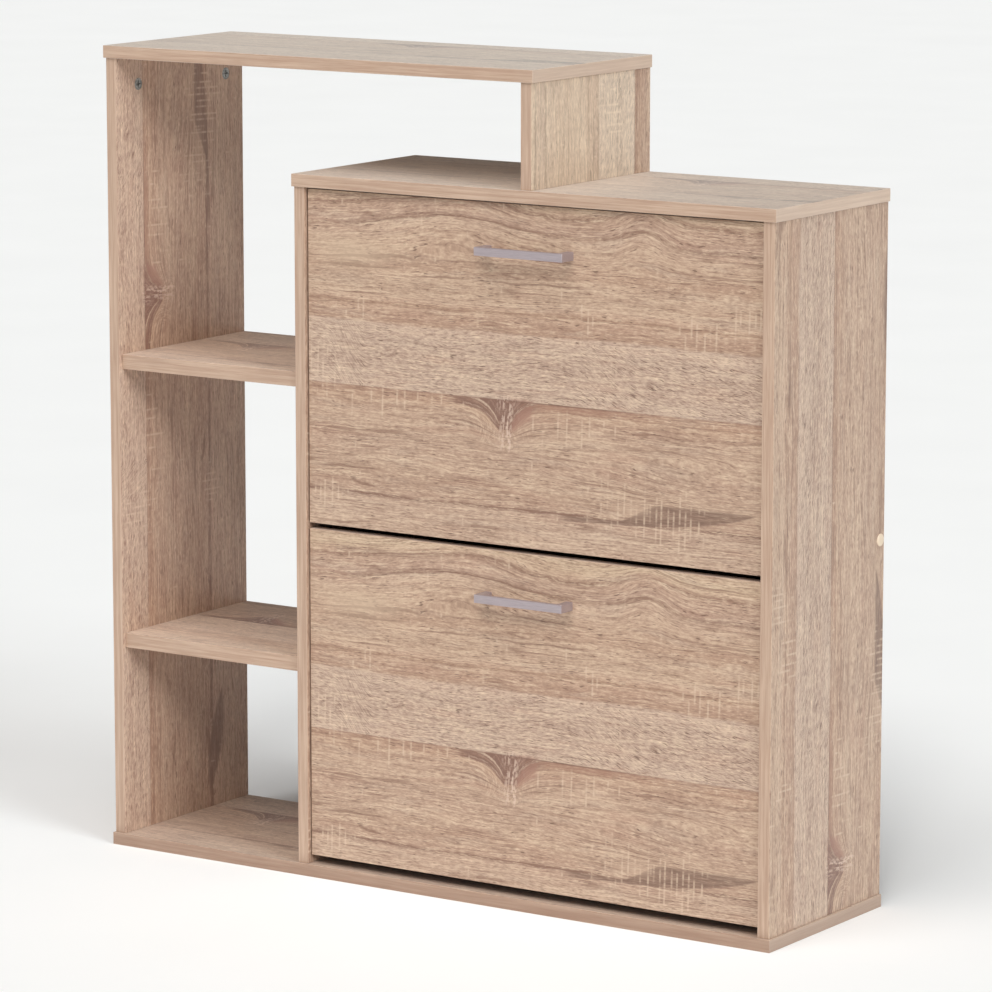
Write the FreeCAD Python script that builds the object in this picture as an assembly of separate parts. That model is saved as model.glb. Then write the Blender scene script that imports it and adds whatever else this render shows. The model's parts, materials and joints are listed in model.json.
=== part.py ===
import FreeCAD, Part
import math
import os
from collections import defaultdict
from FreeCAD import Vector

# A free-standing shoe cabinet in melamine-faced chipboard. An open bay with two fixed shelves is on
# its left, two tilt-out flaps are on its right, and a raised top bridges from the tall left side
# panel to a short riser. It is held together with cam fittings, dowels and connecting screws.
#
# Millimetres. +X is to the right, +Y to the rear and +Z up, so the front faces -Y. The origin is
# the centre of the base panel's underside.

# Carcass
WIDTH = 940.0  # base panel, left to right
DEPTH = 256.0  # boards, front to back
HEIGHT = 984.0  # floor to the upper top's face
CABINET_HEIGHT = 846.0  # floor to the cabinet top's face
UPPER_TOP_LENGTH = 617.5
BAY_WIDTH = 263.0  # clear width of the open bay
BOARD = 15.0
OVERHANG = 2.5  # base and tops past the upright panels
EDGE_RADIUS = 0.5  # broken edges of every board
SHELF_BOARD = 18.0  # bay shelves and rear rail
SHELF_SETBACK = 7.5  # bay shelves' front edges behind the base panel's
SHELF_TOPS = {"bay_shelf_lower": 266.0, "bay_shelf_upper": 610.0}
RAIL_HEIGHT = 70.0
RAIL_CENTRE = 438.0
HARDBOARD = 3.0
BACK_INSET = 2.0  # back panels' edges inside the cabinet's outline
BACK_GAP = 1.0  # between the two back panels, on the rail

# Flaps
FLAP_HEIGHT = 398.0
FLAP_SIDE_GAP = 2.0
FLAP_RECESS = 4.0  # flap faces behind the upright panels' front edges
FLAP_TOP_GAP = 2.0  # upper flap to cabinet top
FLAP_BETWEEN = 7.0  # upper flap to lower flap
PIVOT_RISE = 40.0  # pivot above the flap's bottom edge
PIVOT_BACK = 5.0  # pivot behind the flap's rear face
FLAP_SWING = 45.0  # degrees, closed to open

# Handles
HANDLE_LENGTH = 121.0
HANDLE_HEIGHT = 10.0
HANDLE_PROJECTION = 24.0
HANDLE_BAR = 5.0  # bar, front to back
HANDLE_LEG = 9.0  # legs, along the bar
HANDLE_DROP = 54.5  # bar's centre below the flap's top edge
HANDLE_EDGE = 0.8
HANDLE_INNER_RADIUS = 3.0

# Side brackets of the flaps, with (y, z) measured from the pivot
BRACKET_GAP = 4.0  # bracket to cabinet side
BRACKET_PLATE = 2.5
BRACKET_DEPTH = 12.5  # rims and ledges, measured from the outer face
BRACKET_WALL = 2.0  # rims and ledges, thickness
BRACKET_REACH = 341.0  # radius about the pivot that nothing on the bracket passes
BRACKET_BOTTOM = -33.0
BRACKET_SKIRT = 11.3  # lower edge below the lower rack, measured upright
BRACKET_REAR = 213.0
BRACKET_SHOULDER = 56.0  # y where the round end meets the straight top edge
BRACKET_FRONT_TOP = 330.0
BRACKET_CORNER = 6.0
FLANGE_WIDTH = 24.0
FLANGE_THICKNESS = 3.0
FLANGE_SCREW_HEIGHTS = (22.0, 112.0, 202.0, 292.0)
FLANGE_SCREW_X = 18.0  # from the bracket's outer face
RACK_TILT = 45.0  # degrees above the horizontal, closed
RACK_STARTS = {"lower_rack": (-22.0, 285.0), "upper_rack": (163.0, 200.0)}  # z at y = 0, length
RACK_GROOVE_PLAY = 0.1
RACK_END_PLAY = 0.5
LEDGE_SHORT = 8.0  # ledges end this far before the rack's rear edge
# Each window lies between two radii and two angles, in degrees, about the pivot
BRACKET_WINDOWS = ((135.0, 185.0, 50.0, 72.0), (205.0, 260.0, 50.0, 62.0), (250.0, 310.0, 79.0, 88.0))
WINDOW_CORNER = 6.0

# Pivots and stops
PIN_RADIUS = 3.0
PIN_PLAY = 0.05
PIN_INSERT = 10.0  # pin inside the cabinet side
BUSH_RADIUS = 5.0
BUSH_DEPTH = 11.0
BUSH_FLANGE_RADIUS = 8.0
BUSH_FLANGE = 1.2
BOSS_RADIUS = 8.0
BOSS_INNER = 3.0  # boss past the bracket plate's inner face
BOSS_OUTER = 2.3  # washer face past the bracket's outer face
STOP_RADIUS = 110.0  # stop pin from the pivot
STOP_PIN_RADIUS = 4.0
STOP_PIN_ANGLE = 87.5  # degrees above the horizontal
STOP_PIN_SHANK = 2.5
STOP_PIN_DEPTH = 11.0
STOP_SLOT_PLAY = 0.5
STOP_BLOCK = (14.0, 11.5, 13.0)  # width, depth and height of a closing stop
STOP_BLOCK_RISE = 344.5  # closing stop's underside above the pivot
STOP_BLOCK_GAP = 0.3  # closing stop to the flap's rear face

# Fittings
FIT_FROM_FRONT = 46.0  # fittings behind the base panel's front edge
FIT_FROM_REAR = 34.0
DOWEL_OFFSET = 32.0  # dowels inboard of the fittings
DOWEL_RADIUS = 4.0
DOWEL_IN_EDGE = 20.0
DOWEL_IN_FACE = 10.0
CAM_RADIUS = 7.5
CAM_DEPTH = 12.5
CAM_DISTANCE = 34.0  # cam's centre from the joint
CAM_BOLT_BORE = 4.0
CAM_BOLT_THREAD = 11.0
SCREW_LENGTH = 50.0  # connecting screws
SCREW_HEAD_RADIUS = 5.0
SCREW_COLLAR_RADIUS = 3.5
SCREW_CORE_RADIUS = 2.5
SCREW_HEAD_DEPTH = 3.2
HEX_SOCKET = 4.0  # across flats
HEX_DEPTH = 3.0
CAP_RADIUS = 7.5
CAP_RISE = 1.6
PAN_SHANK_RADIUS = 1.7
NAIL_RADIUS = 0.7
NAIL_LENGTH = 16.0
NAIL_SPACING = 125.0
PLAY = 0.05  # radial gap of a fitting in its bore

# Planes that follow from the sizes above
LEFT, RIGHT = -WIDTH / 2, WIDTH / 2
FRONT, REAR = -DEPTH / 2, DEPTH / 2
PANEL_FRONT = FRONT + OVERHANG
SIDE_OUTER_LEFT, SIDE_OUTER_RIGHT = LEFT + OVERHANG, RIGHT - OVERHANG
BAY_LEFT = SIDE_OUTER_LEFT + BOARD
BAY_RIGHT = BAY_LEFT + BAY_WIDTH
CASE_LEFT = BAY_RIGHT + BOARD
CASE_RIGHT = SIDE_OUTER_RIGHT - BOARD
CASE_TOP = CABINET_HEIGHT - BOARD
UPPER_TOP_UNDERSIDE = HEIGHT - BOARD
RISER_LEFT = LEFT + UPPER_TOP_LENGTH - OVERHANG - BOARD
FIT_ROWS = (FRONT + FIT_FROM_FRONT, REAR - FIT_FROM_REAR)
DOWEL_ROWS = (FIT_ROWS[0] + DOWEL_OFFSET, FIT_ROWS[1] - DOWEL_OFFSET)
RAIL_MIDDLE_Y = REAR - SHELF_BOARD / 2
FLAP_LEFT, FLAP_RIGHT = CASE_LEFT + FLAP_SIDE_GAP, CASE_RIGHT - FLAP_SIDE_GAP
FLAP_FACE = PANEL_FRONT + FLAP_RECESS
PIVOT_Y = FLAP_FACE + BOARD + PIVOT_BACK
UPPER_FLAP_BOTTOM = CASE_TOP - FLAP_TOP_GAP - FLAP_HEIGHT
LOWER_FLAP_BOTTOM = UPPER_FLAP_BOTTOM - FLAP_BETWEEN - FLAP_HEIGHT
PIVOT_HEIGHTS = {"lower_flap": LOWER_FLAP_BOTTOM + PIVOT_RISE, "upper_flap": UPPER_FLAP_BOTTOM + PIVOT_RISE}

# The two inner faces that the flaps hang between: panel, face, and the way into the cabinet
CASE_SIDES = (("partition_panel", CASE_LEFT, 1), ("right_side_panel", CASE_RIGHT, -1))

X_AXIS, Y_AXIS, Z_AXIS = Vector(1, 0, 0), Vector(0, 1, 0), Vector(0, 0, 1)

nodes = {}
bores = defaultdict(list)  # what is cut from each board
hardware = defaultdict(list)  # the loose pieces of each group of fasteners


# Shapes


def block(x, y, z):
    """A box between the two values of each pair."""
    return Part.makeBox(x[1] - x[0], y[1] - y[0], z[1] - z[0], Vector(x[0], y[0], z[0]))


def board(x, y, z):
    """A board with all its edges broken."""
    solid = block(x, y, z)
    return solid.makeFillet(EDGE_RADIUS, solid.Edges)


def placed(solid, base, direction):
    """The solid, built along +Z from the origin, moved to base and turned to face direction."""
    moved = solid.copy()
    moved.Placement = FreeCAD.Placement(base, FreeCAD.Rotation(Z_AXIS, direction))
    return moved


def turned(profile, base, direction):
    """A solid of revolution through (distance, radius) pairs, from base along direction."""
    outline = [Vector(0, 0, profile[0][0])]
    outline += [Vector(radius, 0, distance) for distance, radius in profile]
    outline += [Vector(0, 0, profile[-1][0]), outline[0]]
    solid = Part.Face(Part.makePolygon(outline)).revolve(Vector(), Z_AXIS, 360)
    return placed(solid, base, direction)


def rod(radius, start, end, base, direction):
    """A cylinder about the line through base, between two distances along it."""
    return Part.makeCylinder(radius, end - start, base + direction * start, direction)


def hexagon(flats, start, end, base, direction):
    """A hexagonal bar about the line through base, between two distances along it."""
    corner = flats / 2 / math.cos(math.pi / 6)
    turns = [math.radians(60 * step) for step in range(7)]
    outline = [Vector(corner * math.cos(turn), corner * math.sin(turn), start) for turn in turns]
    bar = Part.Face(Part.makePolygon(outline)).extrude(Z_AXIS * (end - start))
    return placed(bar, base, direction)


def cross_slot(width, length, start, end, base, direction):
    """Two crossed slots about the line through base, between two distances along it."""
    half, thin = length / 2, width / 2
    bars = block((-half, half), (-thin, thin), (start, end))
    bars = bars.fuse(block((-thin, thin), (-half, half), (start, end)))
    return placed(bars, base, direction)


# Fittings: each one adds its bores to the boards that it joins


def connecting_screw(face_board, edge_board, head, direction, cap=False):
    """A countersunk screw through one board's face into the other board's edge."""
    mouth = SCREW_HEAD_RADIUS + PLAY
    sink = [(-1, mouth), (1, mouth), (SCREW_HEAD_DEPTH, SCREW_COLLAR_RADIUS)]
    bores[face_board].append(turned(sink, head, direction))
    bores[face_board].append(rod(SCREW_COLLAR_RADIUS + PLAY, 0, BOARD + 1, head, direction))
    bores[edge_board].append(rod(SCREW_CORE_RADIUS + PLAY, BOARD - 1, SCREW_LENGTH + 2, head, direction))
    body = [
        (0.2, SCREW_HEAD_RADIUS),
        (1, SCREW_HEAD_RADIUS),
        (SCREW_HEAD_DEPTH, SCREW_COLLAR_RADIUS - PLAY),
        (BOARD - 0.5, SCREW_COLLAR_RADIUS - PLAY),
        (BOARD, SCREW_CORE_RADIUS),
        (SCREW_LENGTH - 3, SCREW_CORE_RADIUS),
        (SCREW_LENGTH, 0.8),
    ]
    socket = hexagon(HEX_SOCKET, 0, HEX_DEPTH, head, direction)
    hardware["confirmat_screws"].append(turned(body, head, direction).cut(socket))
    if cap:
        hardware["screw_caps"].append(screw_cap(head, direction))


def screw_cap(head, direction):
    """A domed cap on a screw head, with a hexagonal peg in its socket."""
    rings = ((1.0, 0.35), (0.93, 0.63), (0.7, 0.86), (0.36, 0.97), (0.0, 1.0))
    dome = [(-CAP_RISE * rise, CAP_RADIUS * spread) for rise, spread in rings]
    cap = turned(dome, head, direction)
    return cap.fuse(hexagon(HEX_SOCKET - 4 * PLAY, -0.2, HEX_DEPTH - 0.3, head, direction))


def dowel(face_board, edge_board, joint, direction):
    """A chamfered dowel across a joint; direction points into the board's edge."""
    bores[face_board].append(rod(DOWEL_RADIUS, -DOWEL_IN_FACE - 1, 1, joint, direction))
    bores[edge_board].append(rod(DOWEL_RADIUS, -1, DOWEL_IN_EDGE + 1, joint, direction))
    radius = DOWEL_RADIUS - PLAY
    body = [
        (-DOWEL_IN_FACE, radius - 1),
        (1 - DOWEL_IN_FACE, radius),
        (DOWEL_IN_EDGE - 1, radius),
        (DOWEL_IN_EDGE, radius - 1),
    ]
    hardware["wood_dowels"].append(turned(body, joint, direction))


def cam_fitting(top_board, upright, face, facing, joint):
    """A cam in an upright's face, and its bolt in the board above; joint is where the bolt crosses."""
    mouth = Vector(face, joint.y, joint.z - CAM_DISTANCE)
    inward = X_AXIS * -facing
    bores[upright].append(rod(CAM_RADIUS, -1, CAM_DEPTH, mouth, inward))
    bores[upright].append(rod(CAM_BOLT_BORE, -1, CAM_DISTANCE + 4, joint, -Z_AXIS))
    bores[top_board].append(rod(SCREW_CORE_RADIUS, -CAM_BOLT_THREAD - 0.5, 1, joint, -Z_AXIS))
    cam = rod(CAM_RADIUS - PLAY, 0.3, CAM_DEPTH - 0.2, mouth, inward)
    cam = cam.cut(rod(CAM_BOLT_BORE, CAM_DISTANCE - CAM_RADIUS - 2, CAM_DISTANCE + 4, joint, -Z_AXIS))
    cam = cam.cut(cross_slot(1.4, 9.0, 0, 2.4, mouth, inward))
    hardware["cam_locks"].append(cam)
    neck = CAM_DISTANCE - 7.5
    bolt = [
        (-CAM_BOLT_THREAD, 1.6),
        (1 - CAM_BOLT_THREAD, SCREW_CORE_RADIUS - PLAY),
        (0.1, SCREW_CORE_RADIUS - PLAY),
        (0.1, 3.8),
        (1.3, 3.8),
        (1.3, 2.9),
        (neck, 2.9),
        (neck, 1.7),
        (neck + 4.5, 1.7),
        (neck + 4.5, 3.2),
        (neck + 7, 3.2),
    ]
    hardware["cam_bolts"].append(turned(bolt, joint, -Z_AXIS))


def pan_screw(head, direction, length):
    """A pan-head screw with a cross recess; head is the centre of the face that it bears on."""
    shank = PAN_SHANK_RADIUS
    body = [(-2.2, 2.2), (-1.6, 3.4), (0, 3.6), (0, shank), (length - 3, shank), (length, 0.5)]
    return turned(body, head, direction).cut(cross_slot(0.8, 3.6, -3, -1, head, direction))


def nail(board_behind, panel, point):
    """A nail through a back panel into the edge of the board in front of it; point is on the panel."""
    bores[panel].append(rod(NAIL_RADIUS + PLAY, -1, HARDBOARD + 1, point, -Y_AXIS))
    bores[board_behind].append(rod(NAIL_RADIUS + PLAY, HARDBOARD - 1, NAIL_LENGTH + 0.5, point, -Y_AXIS))
    body = [(-0.6, 1.2), (-0.3, 1.7), (0, 1.7), (0, NAIL_RADIUS), (NAIL_LENGTH - 1.5, NAIL_RADIUS)]
    body.append((NAIL_LENGTH, 0.15))
    hardware["back_panel_nails"].append(turned(body, point, -Y_AXIS))


# Carcass


def make_boards():
    """The boards of the carcass, before boring."""
    depth = (PANEL_FRONT, REAR)
    nodes["base_panel"] = board((LEFT, RIGHT), (FRONT, REAR), (0, BOARD))
    nodes["left_side_panel"] = board((SIDE_OUTER_LEFT, BAY_LEFT), depth, (BOARD, UPPER_TOP_UNDERSIDE))
    nodes["partition_panel"] = board((BAY_RIGHT, CASE_LEFT), depth, (BOARD, CASE_TOP))
    nodes["right_side_panel"] = board((CASE_RIGHT, SIDE_OUTER_RIGHT), depth, (BOARD, CASE_TOP))
    nodes["cabinet_top"] = board((BAY_RIGHT - OVERHANG, RIGHT), (FRONT, REAR), (CASE_TOP, CABINET_HEIGHT))
    nodes["upper_top"] = board((LEFT, LEFT + UPPER_TOP_LENGTH), (FRONT, REAR), (UPPER_TOP_UNDERSIDE, HEIGHT))
    riser = (RISER_LEFT, RISER_LEFT + BOARD)
    nodes["riser_panel"] = board(riser, depth, (CABINET_HEIGHT, UPPER_TOP_UNDERSIDE))
    for name, top in SHELF_TOPS.items():
        nodes[name] = board((BAY_LEFT, BAY_RIGHT), (FRONT + SHELF_SETBACK, REAR), (top - SHELF_BOARD, top))
    rail = (RAIL_CENTRE - RAIL_HEIGHT / 2, RAIL_CENTRE + RAIL_HEIGHT / 2)
    nodes["rear_rail"] = board((CASE_LEFT, CASE_RIGHT), (REAR - SHELF_BOARD, REAR), rail)


def join_uprights():
    """Screws and dowels up through the base, and cam fittings and dowels under the two tops."""
    uprights = {
        "left_side_panel": (SIDE_OUTER_LEFT, BAY_LEFT, 1, "upper_top", UPPER_TOP_UNDERSIDE),
        "partition_panel": (BAY_RIGHT, CASE_LEFT, 1, "cabinet_top", CASE_TOP),
        "right_side_panel": (SIDE_OUTER_RIGHT, CASE_RIGHT, -1, "cabinet_top", CASE_TOP),
        "riser_panel": (RISER_LEFT + BOARD, RISER_LEFT, -1, "upper_top", UPPER_TOP_UNDERSIDE),
    }
    for upright, (plain_face, cam_face, facing, top_board, top) in uprights.items():
        middle = (plain_face + cam_face) / 2
        standing_on, foot = ("base_panel", BOARD)
        if upright == "riser_panel":
            standing_on, foot = ("cabinet_top", CABINET_HEIGHT)
        for y in FIT_ROWS:
            connecting_screw(standing_on, upright, Vector(middle, y, foot - BOARD), Z_AXIS)
            cam_fitting(top_board, upright, cam_face, facing, Vector(middle, y, top))
        for y in DOWEL_ROWS:
            dowel(standing_on, upright, Vector(middle, y, foot), Z_AXIS)
            dowel(top_board, upright, Vector(middle, y, top), -Z_AXIS)


def join_shelves():
    """Screws through the left side, capped, and through the partition into each bay shelf."""
    for shelf, top in SHELF_TOPS.items():
        middle = top - SHELF_BOARD / 2
        for y in FIT_ROWS:
            connecting_screw("left_side_panel", shelf, Vector(SIDE_OUTER_LEFT, y, middle), X_AXIS, cap=True)
            connecting_screw("partition_panel", shelf, Vector(CASE_LEFT, y, middle), -X_AXIS)


def join_rail():
    """One capped screw and one dowel at each end of the rear rail."""
    ends = (
        ("partition_panel", BAY_RIGHT, CASE_LEFT, X_AXIS),
        ("right_side_panel", SIDE_OUTER_RIGHT, CASE_RIGHT, -X_AXIS),
    )
    for panel, outer, inner, direction in ends:
        connecting_screw(panel, "rear_rail", Vector(outer, RAIL_MIDDLE_Y, RAIL_CENTRE), direction, cap=True)
        dowel(panel, "rear_rail", Vector(inner, RAIL_MIDDLE_Y, RAIL_CENTRE + 20), direction)


def spaced(low, high):
    """Evenly spaced values from low to high, about one nail spacing apart."""
    steps = max(1, round((high - low) / NAIL_SPACING))
    return [low + (high - low) * step / steps for step in range(steps + 1)]


def make_backs():
    """Two hardboard backs that meet on the rail, nailed round their edges."""
    x = (BAY_RIGHT + BACK_INSET, SIDE_OUTER_RIGHT - BACK_INSET)
    y = (REAR, REAR + HARDBOARD)
    top = CABINET_HEIGHT
    halves = (
        ("back_panel_lower", "base_panel", BACK_INSET, RAIL_CENTRE - BACK_GAP / 2, BOARD / 2),
        ("back_panel_upper", "cabinet_top", top - BACK_INSET, RAIL_CENTRE + BACK_GAP / 2, top - BOARD / 2),
    )
    for name, end_board, outer, inner, end_row in halves:
        nodes[name] = block(x, y, (min(outer, inner), max(outer, inner)))
        rail_row = inner + math.copysign(10, outer - inner)
        columns = spaced(x[0] + 40, x[1] - 40)
        for column in columns:
            nail(end_board, name, Vector(column, y[1], end_row))
            nail("rear_rail", name, Vector(column, y[1], rail_row))
        for row in spaced(min(end_row, rail_row) + 40, max(end_row, rail_row) - 40):
            nail("partition_panel", name, Vector((BAY_RIGHT + CASE_LEFT) / 2, y[1], row))
            nail("right_side_panel", name, Vector((CASE_RIGHT + SIDE_OUTER_RIGHT) / 2, y[1], row))


# Pivots and stops in the cabinet sides


def polar(radius, degrees):
    """A point (0, y, z) about the pivot, with its angle above the horizontal."""
    angle = math.radians(degrees)
    return Vector(0, radius * math.cos(angle), radius * math.sin(angle))


def make_side_hardware():
    """A bush, a stop pin and a closing stop in each cabinet side for each flap."""
    for panel, face, inward in CASE_SIDES:
        into_panel = X_AXIS * -inward
        for pivot_height in PIVOT_HEIGHTS.values():
            pivot = Vector(face, PIVOT_Y, pivot_height)
            hardware["pivot_bushes"].append(pivot_bush(panel, pivot, into_panel))
            centre = pivot + polar(STOP_RADIUS, STOP_PIN_ANGLE)
            hardware["stop_pins"].append(stop_pin(panel, centre, into_panel))
            hardware["flap_stops"].append(closing_stop(panel, pivot, inward))


def pivot_bush(panel, pivot, into_panel):
    """A flanged bush with a blind running bore for the pivot pin."""
    bores[panel].append(rod(BUSH_RADIUS + PLAY, -1, BUSH_DEPTH + 0.2, pivot, into_panel))
    body = [
        (-BUSH_FLANGE, BUSH_FLANGE_RADIUS - 0.5),
        (0.5 - BUSH_FLANGE, BUSH_FLANGE_RADIUS),
        (0, BUSH_FLANGE_RADIUS),
        (0, BUSH_RADIUS),
        (BUSH_DEPTH, BUSH_RADIUS),
    ]
    bore = rod(PIN_RADIUS + PIN_PLAY, -BUSH_FLANGE - 1, PIN_INSERT + 0.4, pivot, into_panel)
    return turned(body, pivot, into_panel).cut(bore)


def stop_pin(panel, centre, into_panel):
    """A stepped pin that stands out of a cabinet side through a bracket's slot."""
    bores[panel].append(rod(STOP_PIN_SHANK + PLAY, -1, STOP_PIN_DEPTH + 0.5, centre, into_panel))
    tip = BRACKET_GAP + BRACKET_PLATE + 1.5
    body = [
        (-tip, STOP_PIN_RADIUS - 0.6),
        (0.6 - tip, STOP_PIN_RADIUS),
        (0, STOP_PIN_RADIUS),
        (0, STOP_PIN_SHANK),
        (STOP_PIN_DEPTH, STOP_PIN_SHANK),
    ]
    return turned(body, centre, into_panel)


def closing_stop(panel, pivot, inward):
    """A block behind the flap's top corner, with the screw that holds it."""
    width, depth, height = STOP_BLOCK
    x = sorted((pivot.x, pivot.x + inward * width))
    front = pivot.y - PIVOT_BACK + STOP_BLOCK_GAP
    bottom = pivot.z + STOP_BLOCK_RISE
    solid = block(x, (front, front + depth), (bottom, bottom + height))
    solid = solid.makeFillet(1.2, solid.Edges)
    head = Vector(pivot.x + inward * (width - 4), front + depth / 2, bottom + height / 2)
    into_panel = X_AXIS * -inward
    solid = solid.cut(rod(3.8, -5, 0, head, into_panel))
    bore = PAN_SHANK_RADIUS + PLAY
    solid = solid.cut(rod(bore, -1, width, head, into_panel))
    bores[panel].append(rod(bore, width - 5, 22.5, head, into_panel))
    hardware["stop_screws"].append(pan_screw(head, into_panel, 22))
    return solid


# Flaps, built about their pivot and then moved to it


def make_flap(name, pivot_height):
    """All the pieces that tilt with one flap."""
    pivot = Vector(0, PIVOT_Y, pivot_height)
    pieces = {"front": flap_front(), "handle": flap_handle(), "handle_screws": handle_screws()}
    bracket = side_bracket()
    pieces["left_bracket"] = bracket.translated(X_AXIS * (CASE_LEFT + BRACKET_GAP))
    mirrored = bracket.mirror(Vector(), X_AXIS)
    pieces["right_bracket"] = mirrored.translated(X_AXIS * (CASE_RIGHT - BRACKET_GAP))
    for rack, (start, length) in RACK_STARTS.items():
        pieces[rack] = rack_board(start, length)
    pieces["bracket_screws"] = bracket_screws()
    pieces["pivot_pins"] = pivot_pins()
    for piece, shape in pieces.items():
        nodes[f"{name}_{piece}"] = shape.translated(pivot)


def handle_points():
    """Where the two handle legs meet the flap's face."""
    middle = (FLAP_LEFT + FLAP_RIGHT) / 2
    half = (HANDLE_LENGTH - HANDLE_LEG) / 2
    height = FLAP_HEIGHT - PIVOT_RISE - HANDLE_DROP
    return [Vector(middle + side * half, -PIVOT_BACK - BOARD, height) for side in (-1, 1)]


def flange_points(depth):
    """Where the bracket screws cross the plane y = depth."""
    across = BRACKET_GAP + FLANGE_SCREW_X
    columns = (CASE_LEFT + across, CASE_RIGHT - across)
    return [Vector(x, depth, z) for x in columns for z in FLANGE_SCREW_HEIGHTS]


def flap_front():
    """The flap's front board, bored for its handle and its bracket screws."""
    top = FLAP_HEIGHT - PIVOT_RISE
    panel = board((FLAP_LEFT, FLAP_RIGHT), (-PIVOT_BACK - BOARD, -PIVOT_BACK), (-PIVOT_RISE, top))
    holes = [rod(2.3, -1, BOARD + 1, point, Y_AXIS) for point in handle_points()]
    pilot = PAN_SHANK_RADIUS + PLAY
    holes += [rod(pilot, -1, 12, point, -Y_AXIS) for point in flange_points(-PIVOT_BACK)]
    return panel.cut(holes)


def flap_handle():
    """A bridge handle: a flat bar with a square leg at each end."""
    left, right = handle_points()
    half_leg, half_height = HANDLE_LEG / 2, HANDLE_HEIGHT / 2
    x = (left.x - half_leg, right.x + half_leg)
    y = (left.y - HANDLE_PROJECTION, left.y)
    z = (left.z - half_height, left.z + half_height)
    gap = block((x[0] + HANDLE_LEG, x[1] - HANDLE_LEG), (y[0] + HANDLE_BAR, y[1] + 10), z)
    upright_edges = [edge for edge in gap.Edges if abs(edge.tangentAt(0).z) > 0.9]
    solid = block(x, y, z).cut(gap.makeFillet(HANDLE_INNER_RADIUS, upright_edges))
    outer_edges = [edge for edge in solid.Edges if edge.BoundBox.YMin < y[1] - 0.1]
    solid = solid.makeFillet(HANDLE_EDGE, outer_edges)
    return solid.cut([rod(2.0, -1, 11, point, -Y_AXIS) for point in (left, right)])


def handle_screws():
    """Machine screws from the flap's rear face into the handle's legs."""
    screws = []
    for point in handle_points():
        head = point + Y_AXIS * BOARD
        body = [(-2.6, 2.8), (-1.8, 4.0), (0, 4.2), (0, 1.95), (BOARD + 9.5, 1.95), (BOARD + 10, 1.5)]
        screws.append(turned(body, head, -Y_AXIS).cut(cross_slot(0.9, 4.4, -3, -1.2, head, -Y_AXIS)))
    return Part.makeCompound(screws)


def bracket_screws():
    """Pan-head screws through the bracket flanges into the flap's rear face."""
    heads = flange_points(FLANGE_THICKNESS - PIVOT_BACK)
    return Part.makeCompound([pan_screw(head, -Y_AXIS, 14) for head in heads])


def pivot_pins():
    """Headed pins through the bracket bosses into the bushes of the cabinet sides."""
    pins = []
    for _, face, inward in CASE_SIDES:
        seat = BRACKET_GAP + BRACKET_PLATE + BOSS_INNER
        head = Vector(face + inward * seat, 0, 0)
        tip = seat + PIN_INSERT
        body = [(-1.8, 4.0), (-1.2, 4.6), (0, 4.6), (0, PIN_RADIUS), (tip - 0.8, PIN_RADIUS)]
        body.append((tip, PIN_RADIUS - 0.8))
        pins.append(turned(body, head, X_AXIS * -inward))
    return Part.makeCompound(pins)


def rack_frame(start):
    """The placement that turns a rack's own axes, along and across its board, to its tilt."""
    return FreeCAD.Placement(Vector(0, 0, start), FreeCAD.Rotation(X_AXIS, RACK_TILT))


def rack_board(start, length):
    """A hardboard rack between the two brackets."""
    inset = BRACKET_GAP + BRACKET_PLATE + RACK_END_PLAY
    x = (CASE_LEFT + inset, CASE_RIGHT - inset)
    solid = block(x, (0, length), (-HARDBOARD / 2, HARDBOARD / 2))
    solid.Placement = rack_frame(start)
    return solid


def bracket_outline():
    """The bracket's side view, with rounded rear corners, as a face in the plane x = 0."""
    under_rack = RACK_STARTS["lower_rack"][0] - BRACKET_SKIRT
    heel = Vector(0, BRACKET_BOTTOM - under_rack, BRACKET_BOTTOM)
    lower_rear = Vector(0, BRACKET_REAR, BRACKET_REAR + under_rack)
    upper_rear = Vector(0, BRACKET_REAR, math.sqrt(BRACKET_REACH**2 - BRACKET_REAR**2))
    shoulder = Vector(0, BRACKET_SHOULDER, math.sqrt(BRACKET_REACH**2 - BRACKET_SHOULDER**2))
    front_top = Vector(0, -PIVOT_BACK, BRACKET_FRONT_TOP)
    front_bottom = Vector(0, -PIVOT_BACK, BRACKET_BOTTOM)
    between = (upper_rear + shoulder).normalize() * BRACKET_REACH
    edges = [
        Part.LineSegment(front_bottom, heel).toShape(),
        Part.LineSegment(heel, lower_rear).toShape(),
        Part.LineSegment(lower_rear, upper_rear).toShape(),
        Part.Arc(upper_rear, between, shoulder).toShape(),
        Part.LineSegment(shoulder, front_top).toShape(),
        Part.LineSegment(front_top, front_bottom).toShape(),
    ]
    prism = Part.Face(Part.Wire(edges)).extrude(X_AXIS)
    across = [edge for edge in prism.Edges if edge.BoundBox.XLength > 0.9]
    rear = [edge for edge in across if edge.BoundBox.YMin > BRACKET_SHOULDER - 1]
    prism = prism.makeFillet(BRACKET_CORNER, rear)
    return next(face for face in prism.Faces if face.BoundBox.XMax < 0.01)


def sector(radii, angles, x):
    """A band between two radii and two angles about the pivot, between two values of x."""
    (inner, outer), (low, high) = radii, angles
    middle = (low + high) / 2
    edges = [
        Part.Arc(polar(inner, low), polar(inner, middle), polar(inner, high)).toShape(),
        Part.LineSegment(polar(inner, high), polar(outer, high)).toShape(),
        Part.Arc(polar(outer, high), polar(outer, middle), polar(outer, low)).toShape(),
        Part.LineSegment(polar(outer, low), polar(inner, low)).toShape(),
    ]
    band = Part.Face(Part.Wire(edges)).extrude(X_AXIS * (x[1] - x[0]))
    return band.translated(X_AXIS * x[0])


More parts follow.
